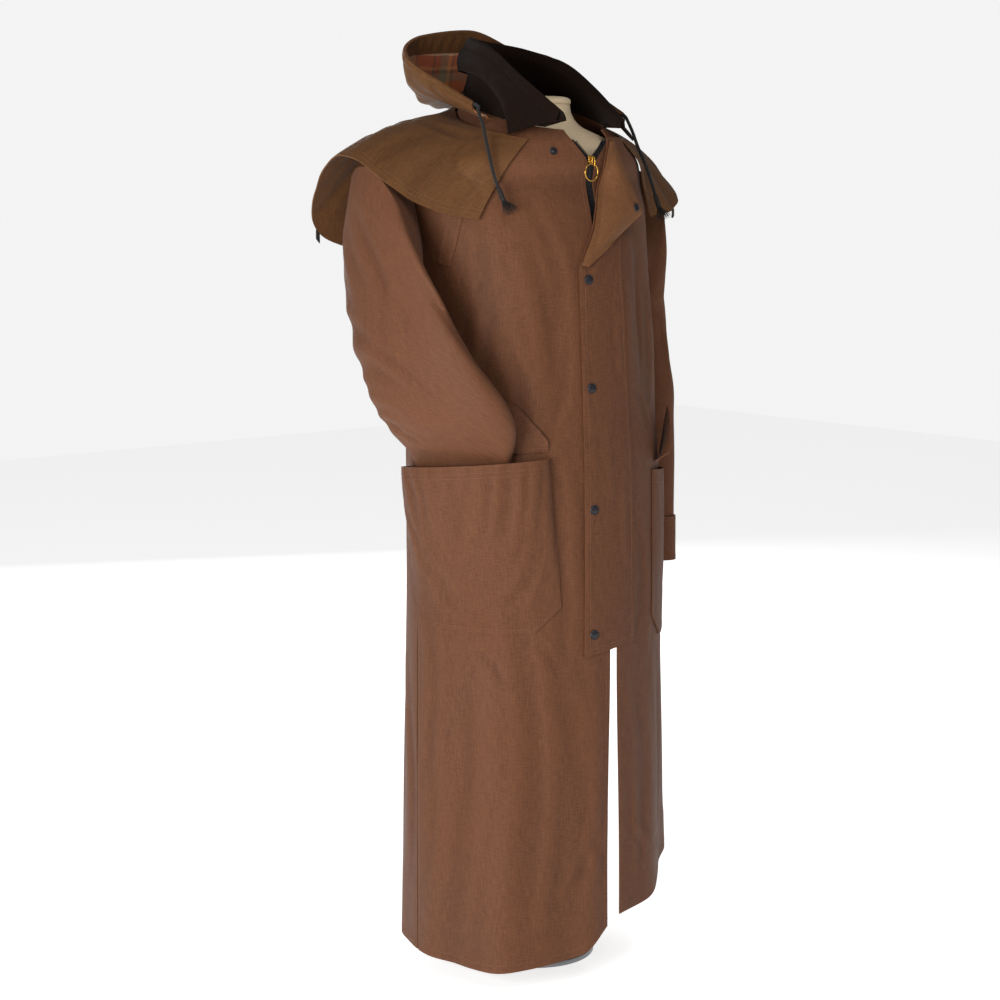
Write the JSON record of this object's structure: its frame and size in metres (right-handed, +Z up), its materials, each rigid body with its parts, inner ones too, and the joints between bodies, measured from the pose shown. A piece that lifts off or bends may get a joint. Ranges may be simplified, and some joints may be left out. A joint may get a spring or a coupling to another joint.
{
  "type": "duster coat on a limbless dress form",
  "caption": "Brown waxed-canvas duster coat with shoulder cape, corduroy collar and plaid-lined hood, on a limbless dress form; one empty sleeve is tucked in a pocket.",
  "frame": {"origin": "on the floor at the centre of the stand's base", "axes": "+Z up, the coat's front faces -Y, +X is the wearer's left"},
  "size_m": [0.588, 0.4008, 1.4342],
  "materials": {
    "waxed_canvas": "waxed cotton canvas, matt with a faint sheen",
    "corduroy": "fine corduroy",
    "plaid_flannel": "brushed plaid flannel",
    "zip_tape": "woven tape with moulded teeth",
    "brass": "polished",
    "snap_metal": "dark enamel",
    "cord": "braided cord",
    "form_cover": "cream jersey",
    "stand_metal": "satin"
  },
  "bodies": {
    "coat": {"front_right": "waxed_canvas", "front_left": "waxed_canvas", "back": "waxed_canvas", "sleeve_right": "waxed_canvas", "sleeve_left": "waxed_canvas", "cuff_left": "waxed_canvas", "cape_front_right": "waxed_canvas", "cape_front_left": "waxed_canvas", "cape_back": "waxed_canvas", "collar": "corduroy", "hood": "waxed_canvas", "hood_lining": "plaid_flannel", "hood_casing": "waxed_canvas", "neck_facing": "plaid_flannel", "storm_flap": "waxed_canvas", "storm_flap_lapel": "waxed_canvas", "zip_tape_right": "zip_tape", "zip_tape_left": "zip_tape", "zip_slider": "brass", "snap_cap_1": "snap_metal", "snap_cap_2": "snap_metal", "snap_cap_3": "snap_metal", "snap_cap_4": "snap_metal", "snap_stud": "snap_metal", "snap_socket": "snap_metal", "pocket_right": "waxed_canvas", "pocket_left": "waxed_canvas", "pocket_flap_right": "waxed_canvas", "pocket_flap_left": "waxed_canvas", "chest_band_right": "waxed_canvas", "chest_band_left": "waxed_canvas", "keeper_right": "cord", "keeper_left": "cord", "drawcord_right": "cord", "drawcord_left": "cord", "cord_end_right": "cord", "cord_end_left": "cord", "form_body": "form_cover", "form_neck_cap": "form_cover", "form_pole": "stand_metal", "form_base": "stand_metal"},
    "pull": {"zip_pull": "brass"},
    "ring": {"pull_ring": "brass"}
  },
  "joints": [
    {"name": "pull_swing", "type": "hinge", "parent": "coat", "child": "pull", "pos_m": [0, -0.13062, 1.23957], "axis": [1, 0, 0], "range_deg": [-90, 0]},
    {"name": "ring_swing", "type": "hinge", "parent": "pull", "child": "ring", "pos_m": [0, -0.13062, 1.22937], "axis": [1, 0, 0], "range_deg": [-90, 0]}
  ]
}
